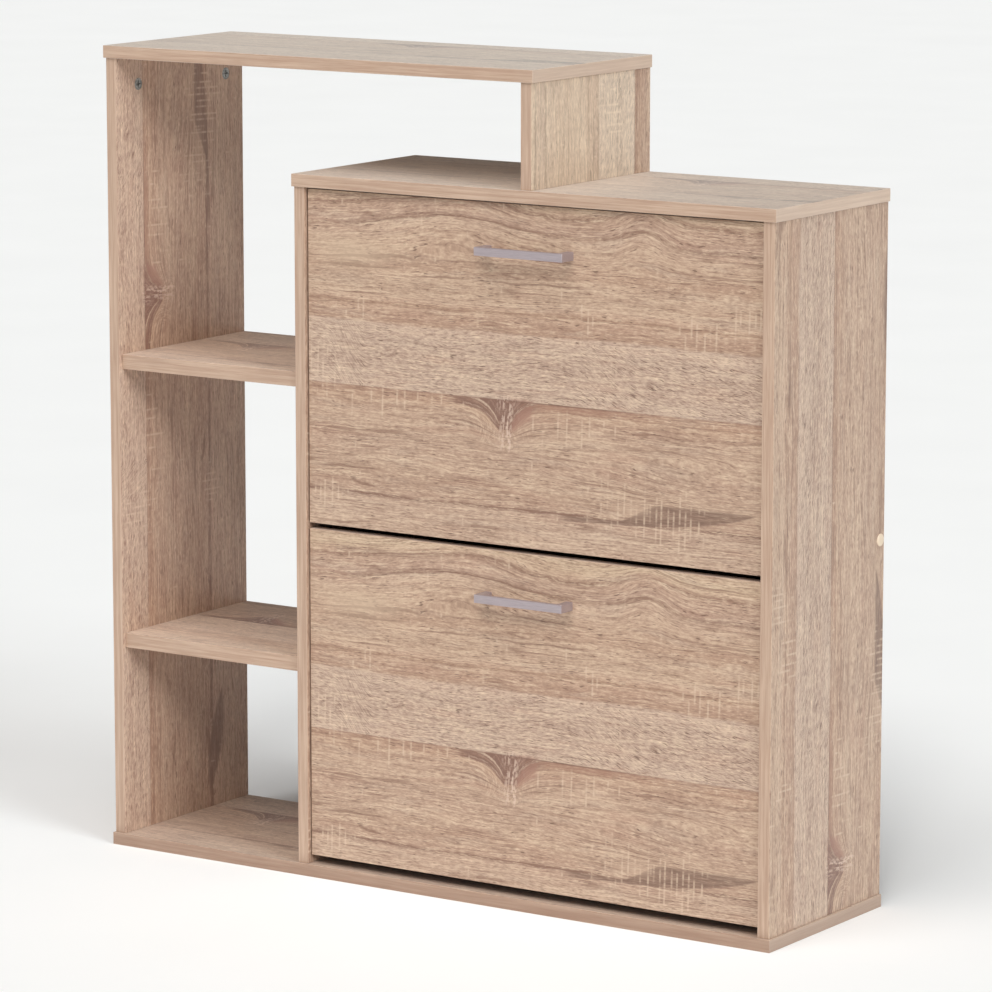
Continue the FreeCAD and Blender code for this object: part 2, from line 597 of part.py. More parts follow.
def stop_slot(half_width, x):
    """A curved slot about the pivot, as long as the stop pin's travel."""
    angles = (STOP_PIN_ANGLE - FLAP_SWING, STOP_PIN_ANGLE)
    slot = sector((STOP_RADIUS - half_width, STOP_RADIUS + half_width), angles, x)
    ends = [rod(half_width, x[0], x[1], polar(STOP_RADIUS, angle), X_AXIS) for angle in angles]
    return slot.fuse(ends)


def bracket_window(inner, outer, low, high):
    """A lightening window with rounded corners, through the bracket's plate."""
    cutter = sector((inner, outer), (low, high), (-1, BRACKET_PLATE + 1))
    across = [edge for edge in cutter.Edges if edge.BoundBox.XLength > 1]
    return cutter.makeFillet(WINDOW_CORNER, across)


def rack_ledges(start, length):
    """The two ledges that a rack's end slides between."""
    ledges = []
    inner = HARDBOARD / 2 + RACK_GROOVE_PLAY
    for side in (-1, 1):
        across = sorted((side * inner, side * (inner + BRACKET_WALL)))
        ledge = block((0, BRACKET_DEPTH), (0, length - LEDGE_SHORT), across)
        ledge.Placement = rack_frame(start)
        ledges.append(ledge)
    return ledges


def side_bracket():
    """The left-hand moulded bracket, with its outer face in the plane x = 0."""
    outline = bracket_outline()
    plate = outline.extrude(X_AXIS * BRACKET_PLATE)
    rim = outline.cut(outline.makeOffset2D(-BRACKET_WALL)).extrude(X_AXIS * BRACKET_DEPTH)
    flange_depth = (-PIVOT_BACK, FLANGE_THICKNESS - PIVOT_BACK)
    flange = block((0, FLANGE_WIDTH), flange_depth, (BRACKET_BOTTOM, BRACKET_FRONT_TOP))
    boss = rod(BOSS_RADIUS, -BOSS_OUTER, BRACKET_PLATE + BOSS_INNER, Vector(), X_AXIS)
    pin_way = STOP_PIN_RADIUS + STOP_SLOT_PLAY
    lip = stop_slot(pin_way + BRACKET_WALL, (0, BRACKET_PLATE + 2))
    ribs = [rim, flange, boss, lip]
    for start, length in RACK_STARTS.values():
        ribs += rack_ledges(start, length)
    solid = plate.fuse(ribs)
    cutters = [bracket_window(*window) for window in BRACKET_WINDOWS]
    cutters.append(stop_slot(pin_way, (-1, BRACKET_PLATE + 3)))
    cutters.append(rod(PIN_RADIUS + PLAY, -10, 20, Vector(), X_AXIS))
    cutters.append(rod(BOSS_RADIUS, BRACKET_PLATE + BOSS_INNER, FLANGE_WIDTH + 1, Vector(), X_AXIS))
    in_front = (-PIVOT_BACK - BOARD, -PIVOT_BACK)
    cutters.append(block((-BOSS_RADIUS, FLANGE_WIDTH), in_front, (-PIVOT_RISE, FLAP_HEIGHT)))
    for height in FLANGE_SCREW_HEIGHTS:
        centre = Vector(FLANGE_SCREW_X, 0, height)
        cutters.append(rod(PAN_SHANK_RADIUS + PLAY, -PIVOT_BACK - 1, 1, centre, Y_AXIS))
    return solid.cut(cutters).removeSplitter()


def main():
    make_boards()
    join_uprights()
    join_shelves()
    join_rail()
    make_backs()
    make_side_hardware()
    for name, tools in bores.items():
        nodes[name] = nodes[name].cut(tools)
    for name, solids in hardware.items():
        nodes[name] = Part.makeCompound(solids)
    for name, pivot_height in PIVOT_HEIGHTS.items():
        make_flap(name, pivot_height)
    os.makedirs("parts", exist_ok=True)
    for name, shape in nodes.items():
        shape.exportStep(f"parts/{name}.step")


main()
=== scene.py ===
import json
import math

import bpy
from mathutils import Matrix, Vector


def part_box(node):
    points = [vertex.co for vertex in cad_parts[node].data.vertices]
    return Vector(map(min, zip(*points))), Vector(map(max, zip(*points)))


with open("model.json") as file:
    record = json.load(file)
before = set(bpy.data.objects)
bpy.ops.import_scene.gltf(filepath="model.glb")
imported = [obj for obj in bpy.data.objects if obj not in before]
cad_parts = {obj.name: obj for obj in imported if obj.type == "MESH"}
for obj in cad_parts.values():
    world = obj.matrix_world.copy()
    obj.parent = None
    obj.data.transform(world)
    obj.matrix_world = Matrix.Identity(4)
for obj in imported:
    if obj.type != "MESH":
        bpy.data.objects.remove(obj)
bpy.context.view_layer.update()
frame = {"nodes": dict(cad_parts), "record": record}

# A shoe cabinet in oak-print boards: an open shelved bay, two tilt-out flaps and a raised top.
# Metres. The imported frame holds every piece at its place; this script adds the surfaces, the
# light and the camera. Inside the materials, lengths along and across the grain are millimetres.

NODES = frame["nodes"]
X, Y, Z = 0, 1, 2


# Colours and node arithmetic


def srgb(red, green, blue):
    """A linear colour from display values of 0 to 255."""
    def linear(value):
        value /= 255
        return value / 12.92 if value <= 0.04045 else ((value + 0.055) / 1.055) ** 2.4
    return (linear(red), linear(green), linear(blue), 1.0)


class Value:
    """A number carried by a node's output. Arithmetic on it adds Math nodes."""

    def __init__(self, graph, socket):
        self.graph = graph
        self.socket = socket

    def math(self, operation, *others):
        return self.graph.add("ShaderNodeMath", self, *others, operation=operation)

    def __add__(self, other):
        return self.math("ADD", other)

    def __sub__(self, other):
        return self.math("SUBTRACT", other)

    def __mul__(self, other):
        return self.math("MULTIPLY", other)

    def __truediv__(self, other):
        return self.math("DIVIDE", other)

    __radd__ = __add__
    __rmul__ = __mul__

    def __rsub__(self, other):
        return self * -1 + other

    def __neg__(self):
        return self * -1

    def size(self):
        return self.math("ABSOLUTE")

    def above(self, low, high):
        """0 below low, 1 above high, smooth between them."""
        return self.graph.add(
            "ShaderNodeMapRange", self, low, high, 0.0, 1.0, interpolation_type="SMOOTHSTEP"
        )

    def below(self, low, high):
        """1 below low, 0 above high, smooth between them."""
        return self.graph.add(
            "ShaderNodeMapRange", self, low, high, 1.0, 0.0, interpolation_type="SMOOTHSTEP"
        )

    def between(self, low, high, soft):
        """1 between low and high, fading over soft outside them."""
        return self.above(low - soft, low) * self.below(high, high + soft)

    def hill(self, centre, width):
        """A bell of height 1 at centre."""
        offset = (self - centre) / width
        return (-(offset * offset)).math("EXPONENT")


class Graph:
    """A node tree with short ways to add what the surfaces need."""

    def __init__(self, tree):
        self.tree = tree

    def node(self, kind, *values, **settings):
        node = self.tree.nodes.new(kind)
        for name, value in settings.items():
            setattr(node, name, value)
        for socket, value in zip(node.inputs, values):
            self.feed(socket, value)
        return node

    def feed(self, socket, value):
        if isinstance(value, Value):
            self.tree.links.new(value.socket, socket)
        elif value is not None:
            socket.default_value = value

    def add(self, kind, *values, **settings):
        return Value(self, self.node(kind, *values, **settings).outputs[0])

    def vector(self, *parts):
        return self.add("ShaderNodeCombineXYZ", *parts)

    def noise(self, parts, detail=2.0, rough=0.5, twist=0.0):
        """Cloudy values round 0.5, with features one unit across."""
        place = self.vector(*parts)
        return self.add("ShaderNodeTexNoise", place, None, 1.0, detail, rough, None, None, None, twist)

    def blend(self, factor, first, second, how="MIX"):
        """Two colours mixed by a factor."""
        node = self.node("ShaderNodeMix", data_type="RGBA", blend_type=how, clamp_factor=True)
        for index, value in ((0, factor), (6, first), (7, second)):
            self.feed(node.inputs[index], value)
        return Value(self, node.outputs[2])

    def ramp(self, value, stops):
        """A colour from (position, colour) stops, with positions in the value's own units."""
        low, high = stops[0][0], stops[-1][0]
        node = self.node("ShaderNodeValToRGB", (value - low) / (high - low))
        elements = node.color_ramp.elements
        for index, (position, colour) in enumerate(stops):
            place = (position - low) / (high - low)
            if index < 2:
                elements[index].position = place
            else:
                elements.new(place)
            elements[index].color = colour
        return Value(self, node.outputs[0])

    def place(self):
        """Where the surface is in the frame, in metres, whatever its body's pose."""
        coordinates = self.node("ShaderNodeTexCoord").outputs["Object"]
        parts = self.node("ShaderNodeSeparateXYZ", Value(self, coordinates))
        return [Value(self, socket) for socket in parts.outputs]


def new_group(name, inputs, outputs):
    """A node group's graph and its input values. The caller adds the output node."""
    tree = bpy.data.node_groups.new(name, "ShaderNodeTree")
    for socket in inputs:
        tree.interface.new_socket(socket, in_out="INPUT", socket_type="NodeSocketFloat")
    for socket, kind in outputs:
        tree.interface.new_socket(socket, in_out="OUTPUT", socket_type=kind)
    graph = Graph(tree)
    start = tree.nodes.new("NodeGroupInput")
    return graph, [Value(graph, socket) for socket in start.outputs[: len(inputs)]]


def close_group(graph, colour, height):
    """The group's output node, fed with a colour and a height."""
    end = graph.tree.nodes.new("NodeGroupOutput")
    graph.feed(end.inputs["Color"], colour)
    graph.feed(end.inputs["Height"], height)
    return graph.tree


def new_material(name, metallic=0.0, specular=0.5, sheen=0.0):
    """A material's graph and its shader, with the uniform numbers on the shader's own sockets."""
    material = bpy.data.materials.new(name)
    material.use_nodes = True
    graph = Graph(material.node_tree)
    shader = material.node_tree.nodes["Principled BSDF"]
    shader.inputs["Metallic"].default_value = metallic
    shader.inputs["Specular IOR Level"].default_value = specular
    shader.inputs["Sheen Weight"].default_value = sheen
    return material, graph, shader


def speckle(graph, place, per_metre, detail=2.0, rough=0.5):
    """Noise of the same grain in every direction, with so many features to the metre."""
    return graph.noise([part * per_metre for part in place], detail, rough)


def finish_shader(graph, shader, colour, roughness, height, depth):
    """Colour, roughness and relief into the shader; depth is the relief's size in metres."""
    graph.feed(shader.inputs["Base Color"], colour)
    graph.feed(shader.inputs["Roughness"], roughness)
    bump = graph.node("ShaderNodeBump")
    bump.inputs["Strength"].default_value = 1.0
    bump.inputs["Distance"].default_value = depth
    graph.feed(bump.inputs["Height"], height)
    graph.tree.links.new(bump.outputs[0], shader.inputs["Normal"])


def clothe(node, material):
    """Gives a CAD node one material all over."""
    slots = NODES[node].data.materials
    slots.clear()
    slots.append(material)


# The oak print. Its two planks meet in a straight seam at across = 0, with a knot at the origin.

PRINT_INPUTS = ("Along", "Across", "Seed")
PRINT_OUTPUTS = (("Color", "NodeSocketColor"), ("Height", "NodeSocketFloat"))
PRINT_SHADE = (0.87, 0.845, 0.805)  # a board's reflectance, against its look in full light


def tint(red, green, blue):
    """A colour of the print, from how it looks in full light."""
    look = srgb(red, green, blue)
    return tuple(channel * shade for channel, shade in zip(look, PRINT_SHADE)) + (1.0,)


LIGHT_WOOD = tint(236, 212, 186)
END_WOOD = tint(224, 206, 190)
DARK_WOOD = tint(128, 94, 76)
PORE = tint(98, 66, 50)
SAW_LIGHT = tint(221, 197, 175)
HEARTWOOD = tint(124, 95, 80)
WING = tint(128, 93, 79)

# Painted light added to the print, per channel, on boards that look paler than the flaps: the grazing
# reflection on the tops, the light on the riser, shelves and base, and the warm bounce light on the left
# side inside the bay; the riser's print is also partly paler in itself
TOP_PAINTED_LIGHT = (0.200, 0.230, 0.220, 1)
CABINET_TOP_PAINTED_LIGHT = (0.135, 0.150, 0.140, 1)
RISER_PAINTED_LIGHT = (0.130, 0.135, 0.105, 1)
SHELF_PAINTED_LIGHT = (0.110, 0.085, 0.065, 1)
BASE_PAINTED_LIGHT = (0.025, 0.020, 0.015, 1)
LEFT_SIDE_PAINTED_LIGHT = (0.050, 0.020, 0.012, 1)

# Each plank's colour across the grain, in millimetres from the seam
KNOT_PLANK = (
    (-20, tint(150, 114, 98)),
    (0, tint(176, 141, 120)),
    (9, tint(182, 148, 126)),
    (13, tint(196, 165, 142)),
    (17, tint(183, 151, 130)),
    (25, tint(192, 162, 141)),
    (50, tint(193, 164, 143)),
    (68, tint(187, 157, 137)),
    (88, tint(192, 163, 142)),
    (104, tint(186, 156, 135)),
    (123, tint(184, 153, 133)),
    (126.5, tint(134, 100, 84)),
    (130, tint(194, 165, 145)),
    (150, tint(195, 167, 147)),
    (200, tint(188, 158, 137)),
    (260, tint(192, 163, 142)),
)
PLAIN_PLANK = (
    (-330, tint(188, 158, 137)),
    (-250, tint(192, 162, 140)),
    (-228, tint(204, 178, 152)),
    (-217, tint(198, 168, 145)),
    (-213.5, tint(146, 112, 93)),
    (-210, tint(192, 161, 140)),
    (-194, tint(186, 155, 136)),
    (-190, tint(150, 117, 98)),
    (-187, tint(198, 169, 148)),
    (-165, tint(194, 164, 142)),
    (-145, tint(187, 155, 133)),
    (-133, tint(197, 168, 146)),
    (-120, tint(193, 164, 142)),
    (-110, tint(200, 171, 149)),
    (-103, tint(194, 162, 140)),
    (-100, tint(164, 130, 108)),
    (-97, tint(193, 161, 139)),
    (-88, tint(184, 151, 130)),
    (-79, tint(178, 145, 124)),
    (-76, tint(201, 174, 156)),
    (-60, tint(192, 166, 149)),
    (-35, tint(188, 161, 144)),
    (-10, tint(194, 168, 151)),
    (0, tint(198, 172, 155)),
)

# Noise layers of the grain: length and width of a fleck, and how much it counts
GRAIN_LAYERS = (
    (7, 1.5, 1.25),
    (24, 2.3, 0.95),
    (90, 3.2, 0.95),
    (16, 9, 0.4),
    (150, 13, 0.4),
)

# Patches of saw marks: centre along and across, half length, half width
WIDE_SAW_PATCHES = ((92, 26, 56, 24), (-150, 9, 80, 12))
CLOSE_SAW_PATCHES = (
    (165, 116, 40, 24),
    (222, 122, 46, 30),
    (-250, 130, 30, 20),
    (-202, -92, 24, 16),
    (268, -92, 28, 16),
    (112, -102, 16, 24),
    (-262, -20, 22, 28),
    (330, -115, 28, 14),
    (905, -48, 36, 20),
)

# Smaller figures elsewhere along the board: centre, half length, half width, slope
FAR_FIGURES = ((640, 128, 100, 17, -0.03), (-575, 136, 70, 15, 0.2))


def mixed(first, second, factor):
    """A number between two, by a factor."""
    return first + (second - first) * factor


def highest(values):
    """The highest of several values."""
    top = values[0]
    for value in values[1:]:
        top = top.math("MAXIMUM", value)
    return top


def patches(along, across, places):
    """Soft patches at (centre along, centre across, half length, half width)."""
    return highest([along.hill(a, length) * across.hill(c, width) for a, c, length, width in places])


def far_figure(along, across, figure):
    """A small leaf-shaped mask."""
    centre, middle, length, width, slope = figure
    on_length = (along - centre) / length
    on_width = (across - (along - centre) * slope - middle) / width
    return (on_width.size() + on_length * on_length * 0.95).below(0.6, 1.05)


def leaf_mask(along, across):
    """The long dark leaf: a thin tail that swells, then tapers to a point."""
    course = (along - 150) / 180
    lower = 131 - course * 7 - course * course * course * 17
    upper = 103.5 + along.below(150, 214) * 23.5
    inside = (across - upper).above(-1.2, 1.4) * (across - lower).below(-1.4, 1.0)
    return inside * along.between(96, 330, 30)


def saw_lines(graph, along, across, spacing, presence, seed):
    """Light lines across the grain at a nearly even spacing, broken where presence is low."""
    cell = (along + across * 0.03) / spacing
    index = cell.math("FLOOR")
    jitter = graph.noise((index * 7.31, seed, 0.5), 0)
    offset = (cell - index - 0.5 - (jitter - 0.5) * 0.9).size() * spacing
    length = graph.noise((index * 3.7, across / 20, seed + 5), 1)
    chipped = graph.noise((index * 5.1, across / 3.2, seed + 9), 1)
    shown = (length + presence * 0.42).above(0.66, 0.84)
    return offset.below(0.5, 1.8) * shown * chipped.above(0.2, 0.6)


class OakPrint:
    """
    The print while it is painted. Each method lays one kind of mark over the colour so far, at
    places along and across the grain; line is where a grain line would be if it were straight.
    """

    def __init__(self, graph, along, across, seed):
        self.graph = graph
        self.along = along
        self.across = across
        self.seed = seed
        self.on_knot_plank = across.above(-0.3, 0.3)
        off_knot = (along.size() - 8).math("MAXIMUM", 0.0)
        funnel = (off_knot / -17).math("EXPONENT") * 30 * across.below(26, 68)
        self.funnel = funnel * self.on_knot_plank
        self.line = self.grain_line()
        self.rough_band = across.between(-72, -3, 6)  # beside the seam, on the plain plank
        self.leaning = along.above(60, 190) + along.below(-250, -190)
        self.aslant = self.line - along * 0.22
        planks = [graph.ramp(self.line, plank) for plank in (PLAIN_PLANK, KNOT_PLANK)]
        self.colour = graph.blend(self.on_knot_plank, *planks)

    def grain_line(self):
        """Across, bent by drift and ripples, by arches and a fan, and by the knot's funnel."""
        along, across = self.along, self.across
        off_seam = across.size().above(0, 30)
        drift = (self.streaks(240, 40, 0, line=across) - 0.5) * 16 * off_seam
        ripple = (self.streaks(34, 9, 7, line=across) - 0.5) * 4.0 * off_seam
        arches = along.hill(-70, 105) * 20 + along.hill(188, 38) * 15
        arches = arches * (-across).above(140, 195)
        fan = along.above(30, 270) * across.hill(82, 30) * 15
        return across + drift + ripple + arches - fan - self.funnel

    def streaks(self, length, width, shift, detail=2.0, rough=0.5, line=None):
        """Noise drawn out along the grain, with its own shift of the seed."""
        line = self.line if line is None else line
        place = (self.along / length, line / width, self.seed + shift)
        return self.graph.noise(place, detail, rough)

    def paint(self, share, colour):
        """Covers a share of the colour so far with another colour."""
        self.colour = self.graph.blend(share, self.colour, colour)

    def paint_clouds(self):
        """Broad clouds of pinker and greyer wood."""
        self.paint(self.streaks(110, 16, 11, 2, 0.6).above(0.5, 0.72) * 0.3, tint(188, 150, 130))
        self.paint(self.streaks(90, 13, 17, 2, 0.6).above(0.5, 0.72) * 0.35, tint(186, 163, 146))

    def paint_grain(self):
        """Flecks and streaks. They lie aslant in the rough band. Returns their tone, for relief."""
        along, across, graph = self.along, self.across, self.graph
        tone = 0
        for index, (length, width, weight) in enumerate(GRAIN_LAYERS):
            tone = (self.streaks(length, width, index * 9, 2, 0.6) - 0.5) * weight + tone
        leaning_line = mixed(self.line, self.aslant, self.leaning)
        bristle = self.streaks(8, 2.0, 67, 2, 0.65, line=leaning_line) - 0.45
        tone = tone + bristle * (self.rough_band * 1.15 + 0.1)

        # The grain turns back in curls on both sides of the knot, and is broken behind it
        for side, strength in ((-1, 1.0), (1, 0.5)):
            curl_along, curl_across = along - 48 * side, across - 36
            curl = (curl_along * curl_along + curl_across * curl_across).math("SQRT")
            hatch = graph.noise((curl / 1.7, curl_across / 9, 6.1), 2, 0.6) - 0.5
            around = along.hill(25 * side, 12) * across.hill(38, 13)
            tone = mixed(tone, hatch * 2.4, around * strength)
        broken = (graph.noise((along / 3.6, across / 2.2, 7.7), 2, 0.6) - 0.5) * 2.4
        tone = mixed(tone, broken, along.hill(2, 20) * across.hill(46, 17) * 0.8)
        self.paint(tone * 1.4, LIGHT_WOOD)
        self.paint(tone * -1.5, DARK_WOOD)
        return tone

    def paint_rings(self):
        """Long thin ring lines."""
        ring = (self.streaks(380, 9, 41, 1, 0.4) - 0.5).size().below(0.004, 0.019)
        ring = ring * mixed(1.0, 0.3, self.rough_band)
        ring = ring * self.streaks(90, 20, 43).above(0.40, 0.56)
        self.paint(ring * 0.62, tint(132, 97, 79))

    def paint_pores(self):
        """Short dark pores. Returns their mask, for relief."""
        leaning_line = mixed(self.line, self.aslant, self.rough_band * self.leaning)
        pores = self.streaks(13, 1.2, 53, 1, line=leaning_line)
        crowd = self.streaks(50, 12, 59)
        pore = (pores + (crowd - 0.5) * 0.3 + self.rough_band * 0.03).above(0.655, 0.715)
        self.paint(pore * 0.74, PORE)
        return pore

    def paint_seam(self):
        """The seam's thin dark line, strongest beside the knot."""
        by_knot = self.along.between(10, 120, 90)
        under_seam = self.across.between(0.6, 5, 6) * self.on_knot_plank * by_knot
        self.paint(under_seam * 0.5, tint(160, 118, 98))
        self.paint(self.across.hill(0.4, 0.9) * (by_knot * 0.5 + 0.18), tint(118, 86, 72))

    def paint_figures(self, torn):
        """The dark leaf with its pale eye, its smaller kin along the board, and a pale corner."""
        along, across = self.along, self.across
        figures = [leaf_mask(along, across)]
        figures += [far_figure(along, across, figure) for figure in FAR_FIGURES]
        layered = self.streaks(34, 1.7, 63, 2, 0.6, line=across + along * 0.05).above(0.36, 0.6)
        self.paint(highest(figures) * (torn * 0.25 + layered * 0.32 + 0.4), HEARTWOOD)
        self.paint(along.hill(172, 26) * across.hill(112, 7) * 0.5, tint(206, 178, 156))
        self.paint(along.hill(-215, 60) * across.hill(-156, 16) * 0.5, tint(216, 193, 168))

    def paint_knot(self, torn):
        """The knot's dark wings, their pale edges, its stem and the pale rays that cut them."""
        along, across, noise = self.along, self.across, self.graph.noise
        ragged = (noise((along / 5, across / 2.6, 2.9), 3, 0.7) - 0.5) * 5
        wing_line = across - self.funnel + ragged
        stripe = noise((along / 30, wing_line / 1.8, 8.3), 2).above(0.4, 0.56)
        wings = along.between(-58, 30, 28) * wing_line.between(-40, 7, 4) * across.above(-0.5, 1.5)
        self.paint(wings * (stripe * 0.5 + 0.4), WING)
        redder = along.between(14, 34, 10) * wing_line.between(1, 14, 5)
        self.paint(redder * 0.6, tint(166, 122, 106))
        pale_edge = wing_line.hill(-3.5, 1.2) + wing_line.hill(5.5, 1.0) * along.below(-20, -8)
        pale_edge = pale_edge * along.size().between(12, 46, 14) * across.above(0, 2) * torn
        self.paint(pale_edge * 0.7, SAW_LIGHT)
        self.paint(along.hill(2, 9) * across.between(8, 36, 12) * torn * 0.5, WING)
        chips = noise((along / 2.2, across / 5, 4.3), 2, 0.6).above(0.4, 0.56)
        rays = noise(((along + across * 0.1) / 3.4, across / 34, 3.7), 2, 0.5).above(0.44, 0.58)
        rays = rays * chips * along.hill(3, 11) * across.between(1, 54, 10)
        self.paint(rays * 0.8, tint(222, 196, 180))

    def paint_saw_marks(self):
        """Light saw marks that stand across the grain. Returns their mask, for relief."""
        along, across, graph = self.along, self.across, self.graph
        anywhere = graph.noise((along / 60, across / 26, self.seed + 73), 1)
        anywhere = anywhere.above(0.58, 0.76) * 0.3
        wide_patches = highest([patches(along, across, WIDE_SAW_PATCHES), anywhere])
        wide = saw_lines(graph, along, across, 16.0, wide_patches, 1.5)
        close_patches = patches(along, across, CLOSE_SAW_PATCHES)
        close = saw_lines(graph, along, across, 8.2, close_patches, 4.5)
        marks = highest([wide, close])
        self.paint(marks * 0.58, SAW_LIGHT)
        return marks


def make_oak_print():
    """The node group that paints the print from a place along and across the grain."""
    graph, places = new_group("oak_print", PRINT_INPUTS, PRINT_OUTPUTS)
    oak = OakPrint(graph, *places)
    oak.paint_clouds()
    tone = oak.paint_grain()
    oak.paint_rings()
    pore = oak.paint_pores()
    oak.paint_seam()
    torn = oak.streaks(16, 2.4, 61, 3, 0.6).above(0.36, 0.62)
    oak.paint_figures(torn)
    oak.paint_knot(torn)
    marks = oak.paint_saw_marks()
    return close_group(graph, oak.colour, tone - pore * 0.6 + marks * 0.3)


def make_edge_print():
    """The node group of the glued edge strip: fine straight lines along it."""
    graph, (along, across, seed) = new_group("edge_print", PRINT_INPUTS, PRINT_OUTPUTS)
    broad = graph.noise((along / 130, across / 3.4, seed), 3, 0.6)
    fine = graph.noise((along / 42, across / 0.9, seed + 5), 3, 0.6)
    patch = graph.noise((along / 70, across / 30, seed + 9), 2)
    colour = graph.blend(broad.above(0.34, 0.66), tint(186, 155, 135), tint(208, 181, 161))
    colour = graph.blend(patch.above(0.4, 0.7) * 0.4, colour, tint(188, 161, 142))
    colour = graph.blend(fine.below(0.34, 0.5) * 0.4, colour, tint(166, 130, 106))
    return close_group(graph, colour, fine - 0.5)


OAK_PRINT = make_oak_print()
EDGE_PRINT = make_edge_print()
BOARD_PLAY = 0.0004  # a face's material starts this far inside its plane
BOARD_RELIEF = 0.00012  # depth of the print's pressed grain
MILLIMETRES = 1000  # in a metre


def use_group(graph, tree, *values):
    """A group's colour and height for these inputs."""
    node = graph.node("ShaderNodeGroup", node_tree=tree)
    for socket, value in zip(node.inputs, values):
        graph.feed(socket, value)
    return Value(graph, node.outputs["Color"]), Value(graph, node.outputs["Height"])


def chipboard(graph, place):
    """The raw core of a board: pressed chips, as a colour and a height."""
    spot = graph.vector(place[X] * 260, place[Y] * 260, place[Z] * 420)
    chips = graph.node("ShaderNodeTexVoronoi", spot)
    tone = Value(graph, chips.outputs["Color"]) * 1.0  # a Math node turns the colour into a number
    stops = (
        (0, srgb(122, 92, 64)),
        (0.3, srgb(160, 126, 90)),
        (0.65, srgb(190, 156, 116)),
        (1, srgb(214, 184, 142)),
    )
    return graph.ramp(tone, stops), tone


def board_material(
    node, grain, sign_along, knot, cross, sign_across, seam, seed,
    raw_rear=True, painted_light=None, painted_light_on_knot_plank=True,
):
    """
    A board in the oak print. The grain runs along one axis and the print's seam is a place on the
    cross axis; knot and seam are where the print's origin falls, in the frame. The painted light, if
    given, is a colour added to the print for the light and reflection the board gets; it goes on the
    plain plank alone if the knot plank is left out.
    """
    low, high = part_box(node)
    thin = ({X, Y, Z} - {grain, cross}).pop()
    material, graph, shader = new_material(node + "_oak", sheen=0.22)
    place = graph.place()

    along = (place[grain] - knot) * (MILLIMETRES * sign_along)
    across = (place[cross] - seam) * (MILLIMETRES * sign_across)
    face_colour, face_height = use_group(graph, OAK_PRINT, along, across, seed)

    def inside(axis):
        """0 on the board's two faces across an axis, 1 between them."""
        middle, half = (low[axis] + high[axis]) / 2, (high[axis] - low[axis]) / 2
        return (place[axis] - middle).size().below(half - BOARD_PLAY, half - BOARD_PLAY * 0.5)

    on_edge = inside(thin)
    on_long_edge = inside(grain)
    floor_shade = place[Z].below(0.004, 0.03) * 0.5
    strip_along = place[grain] * on_long_edge + place[cross] * (1 - on_long_edge)
    strip = (strip_along * MILLIMETRES, place[thin] * MILLIMETRES, seed)
    edge_colour, edge_height = use_group(graph, EDGE_PRINT, *strip)
    edge_colour = graph.blend(on_long_edge * -0.4 + 0.4, edge_colour, END_WOOD)
    # Painted shade: the edge strips darken towards dark wood within 3 cm of the floor, most below 4 mm
    edge_colour = graph.blend(floor_shade, edge_colour, DARK_WOOD)
    if raw_rear:
        core_colour, core_height = chipboard(graph, place)
        at_rear = place[Y].above(high.y - BOARD_PLAY, high.y - BOARD_PLAY * 0.5)
        edge_colour = graph.blend(at_rear, edge_colour, core_colour)
        edge_height = edge_height * (1 - at_rear) + core_height * at_rear * 3
    # Painted light: a colour added to the print for the light and reflection the board gets
    if painted_light:
        painted_light_share = 1.0 if painted_light_on_knot_plank else across.below(-0.5, 0.5)
        face_colour = graph.blend(painted_light_share, face_colour, painted_light, "ADD")
    colour = graph.blend(on_edge, face_colour, edge_colour)
    height = face_height * (1 - on_edge) + edge_height * on_edge

    smear = speckle(graph, place, 14, 3)
    roughness = smear * 0.12 + 0.40 - height * 0.05
    finish_shader(graph, shader, colour, roughness, height, BOARD_RELIEF)
    clothe(node, material)


# Each board's stretch of the print: the grain's axis and direction, the knot's distance from the
# board's low end, the cross axis and direction, the seam's distance from the edge that the cross
# direction starts at, the seed, and what else is said about the board
BOARDS = {
    "upper_flap_front": (X, 1, 0.2775, Z, -1, 0.2275, 1.0, {"raw_rear": False}),
    "lower_flap_front": (X, 1, 0.285, Z, -1, 0.241, 1.0, {"raw_rear": False}),
    "right_side_panel": (Z, 1, 0.052, Y, 1, 0.132, 1.0, {}),
    "left_side_panel": (Z, 1, 0.660, Y, 1, 0.051, 1.0, {"painted_light": LEFT_SIDE_PAINTED_LIGHT}),
    "partition_panel": (Z, -1, 0.300, Y, 1, 0.090, 2.0, {}),
    "riser_panel": (Z, 1, -0.830, Y, 1, 0.219, 1.0, {"painted_light": RISER_PAINTED_LIGHT, "painted_light_on_knot_plank": False}),
    "cabinet_top": (X, 1, 0.458, Y, -1, 0.048, 1.0, {"painted_light": CABINET_TOP_PAINTED_LIGHT}),
    "upper_top": (X, 1, 0.330, Y, -1, 0.040, 3.0, {"painted_light": TOP_PAINTED_LIGHT}),
    "base_panel": (X, 1, 0.120, Y, -1, 0.069, 1.0, {"painted_light": BASE_PAINTED_LIGHT}),
    "bay_shelf_upper": (X, 1, 0.095, Y, -1, 0.085, 1.0, {"painted_light": SHELF_PAINTED_LIGHT}),
    "bay_shelf_lower": (X, 1, 0.090, Y, 1, 0.1385, 1.0, {"painted_light": SHELF_PAINTED_LIGHT, "painted_light_on_knot_plank": False}),
    "rear_rail": (X, 1, 0.3, Z, 1, 0.020, 4.0, {}),
}


def clothe_boards():
    """Every board, with its stretch of the print."""
    for node, (grain, sign_along, knot, cross, sign_across, seam, seed, options) in BOARDS.items():
        low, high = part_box(node)
        start = low[cross] if sign_across > 0 else high[cross]
        board_material(
            node, grain, sign_along, low[grain] + knot,
            cross, sign_across, start + sign_across * seam, seed, **options,
        )


# Other materials


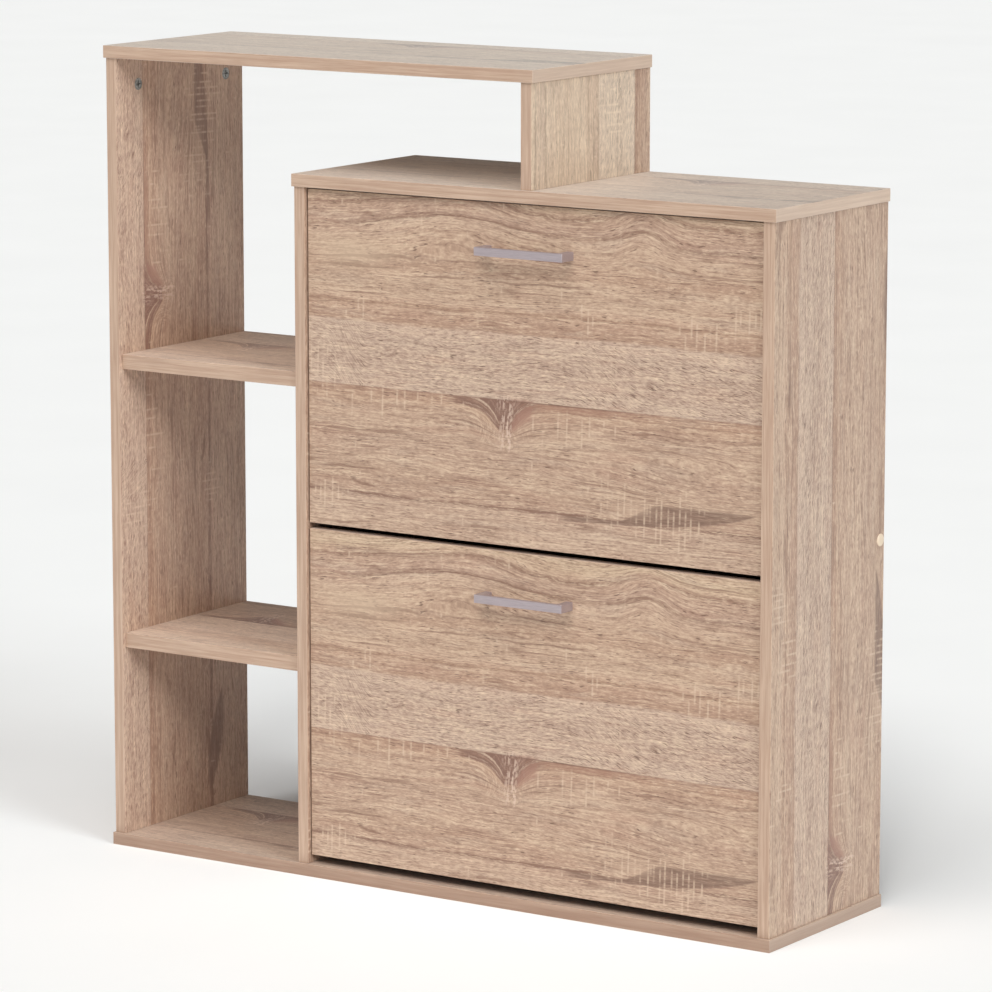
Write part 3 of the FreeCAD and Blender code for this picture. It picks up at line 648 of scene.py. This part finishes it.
def hardboard():
    material, graph, shader = new_material("hardboard", specular=0.35)
    place = graph.place()
    fibres = speckle(graph, place, 900, 4, 0.7)
    clouds = speckle(graph, place, 42, 3)
    colour = graph.blend(clouds.above(0.25, 0.75), srgb(133, 97, 67), srgb(146, 108, 76))
    colour = graph.blend(fibres.above(0.5, 0.75) * 0.5, colour, srgb(184, 146, 106))
    colour = graph.blend(fibres.below(0.3, 0.45) * 0.5, colour, srgb(92, 64, 42))
    finish_shader(graph, shader, colour, clouds * 0.15 + 0.62, fibres, depth=0.00015)
    return material


def satin_metal():
    material, graph, shader = new_material("satin_handle", metallic=0.75)
    place = graph.place()
    brush = graph.noise((place[X] * 60, place[Y] * 3000, place[Z] * 3000), 3, 0.6)
    clouds = speckle(graph, place, 45, 2)
    colour = graph.blend(brush.above(0.3, 0.7), srgb(172, 160, 164), srgb(192, 180, 184))
    colour = graph.blend(clouds.above(0.45, 0.7) * 0.3, colour, srgb(188, 176, 174))
    finish_shader(graph, shader, colour, brush * 0.12 + 0.34, brush, depth=0.00002)
    return material


def plated_metal(name, dark, light, roughness, grain):
    material, graph, shader = new_material(name, metallic=1.0)
    place = graph.place()
    cast = speckle(graph, place, grain, 3, 0.6)
    spots = speckle(graph, place, 220, 3, 0.6)
    colour = graph.blend(cast.above(0.3, 0.7), dark, light)
    colour = graph.blend(spots.below(0.3, 0.42) * 0.5, colour, dark)
    finish_shader(graph, shader, colour, spots * 0.2 + roughness, cast, depth=0.00004)
    return material


def moulded_plastic(name, dark, light, roughness):
    material, graph, shader = new_material(name, specular=0.5)
    place = graph.place()
    leather = speckle(graph, place, 1400, 2, 0.5)
    clouds = speckle(graph, place, 25, 3)
    colour = graph.blend(clouds.above(0.35, 0.65), dark, light)
    colour = graph.blend(leather.above(0.55, 0.75) * 0.25, colour, light)
    finish_shader(graph, shader, colour, leather * 0.1 + roughness, leather, depth=0.00006)
    return material


def beech():
    material, graph, shader = new_material("beech", specular=0.4)
    place = graph.place()
    flecks = graph.noise((place[X] * 900, place[Y] * 900, place[Z] * 160), 3, 0.6)
    colour = graph.blend(flecks.above(0.35, 0.65), srgb(176, 130, 88), srgb(208, 168, 122))
    finish_shader(graph, shader, colour, flecks * 0.2 + 0.5, flecks, depth=0.0001)
    return material


def clothe_the_rest():
    """Everything that isn't a board, by the record's material slots."""
    steel = plated_metal("plated_steel", srgb(150, 150, 152), srgb(196, 196, 198), 0.25, 900)
    by_slot = {
        "hardboard": hardboard(),
        "handle_metal": satin_metal(),
        "zinc_fittings": plated_metal("die_cast_zinc", srgb(120, 118, 114), srgb(172, 170, 166), 0.36, 500),
        "steel_fasteners": steel,
        "bracket_plastic": moulded_plastic("black_plastic", srgb(27, 27, 29), srgb(35, 35, 38), 0.42),
        "bush_plastic": moulded_plastic("nylon", srgb(206, 203, 192), srgb(226, 224, 216), 0.4),
        "cap_plastic": moulded_plastic("cap_plastic", srgb(214, 192, 166), srgb(228, 208, 184), 0.4),
        "beech_dowel": beech(),
    }
    for entry in frame["record"]["subparts"]:
        if entry["material_slot"] in by_slot:
            clothe(entry["node"], by_slot[entry["material_slot"]])


# Stage

WARM_WHITE = (1.0, 0.985, 0.965)
COOL_WHITE = (0.90, 0.965, 1.0)
STUDIO_STRENGTH = 0.13  # behind the cabinet
STUDIO_EXTRA = 0.29  # added in front of it
CAMERA_PLACE = (3.314, -4.929, 1.484)
CAMERA_AZIMUTH = 33.817  # degrees, from straight in front towards the cabinet's right
CAMERA_ELEVATION = 9.765  # degrees that it looks down
CAMERA_LENS = 184.2  # millimetres
CAMERA_SENSOR = 36  # millimetres


def make_floor():
    bpy.ops.mesh.primitive_plane_add(size=80, location=(0, 0, 0))
    floor = bpy.context.object
    floor.name = "floor"
    material, graph, shader = new_material("floor", specular=0.2)
    place = graph.place()
    clouds = speckle(graph, place, 3, 3)
    colour = graph.blend(clouds, srgb(246, 246, 245), srgb(250, 250, 249))
    finish_shader(graph, shader, colour, clouds * 0.1 + 0.7, clouds, depth=0.0001)
    floor.data.materials.append(material)


def sun(name, azimuth, elevation, softness, power, colour=(1, 1, 1)):
    """A far soft light, in degrees. Azimuth 0 is straight in front of the cabinet, 90 on its right."""
    lamp = bpy.data.lights.new(name, "SUN")
    lamp.angle = math.radians(softness)
    lamp.energy = power
    lamp.color = colour
    holder = bpy.data.objects.new(name, lamp)
    holder.rotation_euler = (math.radians(90 - elevation), 0, math.radians(azimuth))
    bpy.context.scene.collection.objects.link(holder)


def make_world():
    """A white studio, brighter in front of the cabinet than behind it."""
    world = bpy.data.worlds.new("studio")
    world.use_nodes = True
    graph = Graph(world.node_tree)
    direction = graph.node("ShaderNodeTexCoord").outputs["Generated"]
    parts = graph.node("ShaderNodeSeparateXYZ", Value(graph, direction)).outputs
    in_front = Value(graph, parts[Y]).below(-0.7, 0.5)
    background = world.node_tree.nodes["Background"]
    background.inputs["Color"].default_value = WARM_WHITE + (1,)
    graph.feed(background.inputs["Strength"], in_front * STUDIO_EXTRA + STUDIO_STRENGTH)
    bpy.context.scene.world = world


def make_light():
    make_world()
    sun("overhead", azimuth=5, elevation=63, softness=40, power=1.4)
    sun("front", azimuth=28, elevation=40, softness=14, power=0.83, colour=WARM_WHITE)
    sun("right", azimuth=74, elevation=24, softness=26, power=1.60, colour=COOL_WHITE)


def make_camera():
    """The photograph's view: from the front right and above the cabinet's top, looking down a little."""
    camera = bpy.data.cameras.new("camera")
    camera.sensor_width = CAMERA_SENSOR
    camera.lens = CAMERA_LENS
    holder = bpy.data.objects.new("camera", camera)
    azimuth, elevation = math.radians(CAMERA_AZIMUTH), math.radians(CAMERA_ELEVATION)
    holder.location = CAMERA_PLACE
    holder.rotation_euler = (math.pi / 2 - elevation, 0, azimuth)
    camera.clip_end = 200
    bpy.context.scene.collection.objects.link(holder)
    bpy.context.scene.camera = holder


clothe_boards()
clothe_the_rest()
make_floor()
make_light()
make_camera()
bpy.context.scene.view_settings.view_transform = "Standard"
